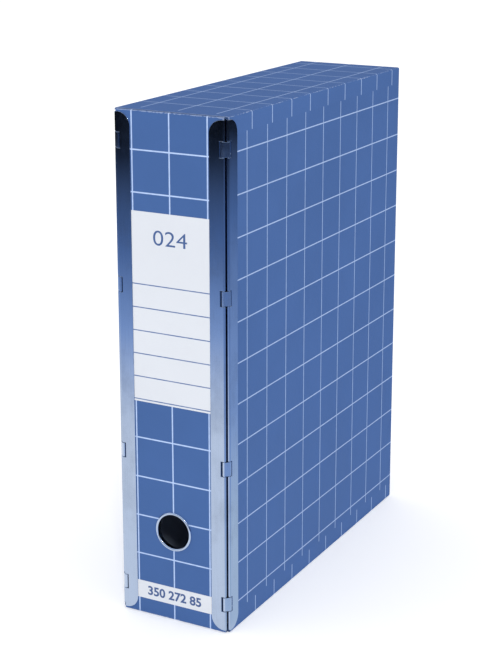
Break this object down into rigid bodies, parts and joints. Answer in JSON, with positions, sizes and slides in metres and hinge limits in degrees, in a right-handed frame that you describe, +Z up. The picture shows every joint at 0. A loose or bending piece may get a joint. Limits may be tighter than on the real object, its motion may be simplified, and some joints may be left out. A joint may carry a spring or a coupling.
{
  "type": "archive box file",
  "caption": "Upright board box file with a finger ring and labels on its spine; spine and inset lid open on linked sheet-steel hinges.",
  "frame": {"origin": "middle of the footprint, on the surface that the box stands on", "axes": "+Z up, +Y from the spine (front) to the fore edge, +X from the lid to the tray's side"},
  "size_m": [0.085, 0.2726, 0.35],
  "materials": {
    "blue_grid_paper": "printed matt-coated covering paper",
    "lining_paper": "uncoated blue-grey lining paper",
    "white_lined_board": "white-lined board, grey cut edges",
    "greyboard": "greyboard, edges under turned-in paper",
    "label_paper": "smooth printed label paper",
    "nickelled_leaf_steel": "bright nickel plate, lightly handled",
    "link_steel": "bright nickel plate",
    "pin_steel": "drawn wire",
    "ring_steel": "polished nickel plate"
  },
  "bodies": {
    "tray": {"tray_board": "greyboard", "top_wall_board": "greyboard", "bottom_wall_board": "greyboard", "fore_edge_board": "greyboard", "tray_lining": "lining_paper", "top_wall_liner": "white_lined_board", "bottom_wall_liner": "white_lined_board", "fore_edge_liner": "white_lined_board", "tray_cover_paper": "blue_grid_paper", "top_cover_paper": "blue_grid_paper", "bottom_cover_paper": "blue_grid_paper", "fore_edge_cover_paper": "blue_grid_paper", "tray_hinge_leaf": "nickelled_leaf_steel", "tray_hinge_pin": "pin_steel"},
    "right_links": {"right_hinge_link_1": "link_steel", "right_hinge_link_2": "link_steel", "right_hinge_link_3": "link_steel", "right_hinge_link_4": "link_steel"},
    "spine": {"spine_board": "greyboard", "spine_lining": "lining_paper", "spine_cover_paper": "blue_grid_paper", "title_label": "label_paper", "foot_label": "label_paper", "finger_ring": "ring_steel", "finger_ring_washer": "ring_steel", "spine_right_hinge_leaf": "nickelled_leaf_steel", "spine_right_hinge_pin": "pin_steel", "spine_left_hinge_leaf": "nickelled_leaf_steel", "spine_left_hinge_pin": "pin_steel"},
    "left_links": {"left_hinge_link_1": "link_steel", "left_hinge_link_2": "link_steel", "left_hinge_link_3": "link_steel", "left_hinge_link_4": "link_steel"},
    "lid": {"lid_board": "greyboard", "lid_lining": "lining_paper", "lid_cover_paper": "blue_grid_paper", "lid_hinge_leaf": "nickelled_leaf_steel", "lid_hinge_pin": "pin_steel"}
  },
  "joints": [
    {"name": "right_link_swing", "type": "hinge", "parent": "tray", "child": "right_links", "pos_m": [0.0412, -0.13205, 0.175], "axis": [0, 0, 1], "range_deg": [0, 45]},
    {"name": "spine_swing", "type": "hinge", "parent": "right_links", "child": "spine", "pos_m": [0.0388, -0.13445, 0.175], "axis": [0, 0, 1], "range_deg": [0, 45]},
    {"name": "left_link_swing", "type": "hinge", "parent": "spine", "child": "left_links", "pos_m": [-0.0388, -0.13445, 0.175], "axis": [0, 0, 1], "range_deg": [0, 90]},
    {"name": "lid_swing", "type": "hinge", "parent": "left_links", "child": "lid", "pos_m": [-0.0412, -0.13205, 0.175], "axis": [0, 0, 1], "range_deg": [0, 90]}
  ],
  "couplings": [
    {"joint": "right_link_swing", "follows": "spine_swing", "ratio": 1},
    {"joint": "left_link_swing", "follows": "lid_swing", "ratio": 1}
  ]
}
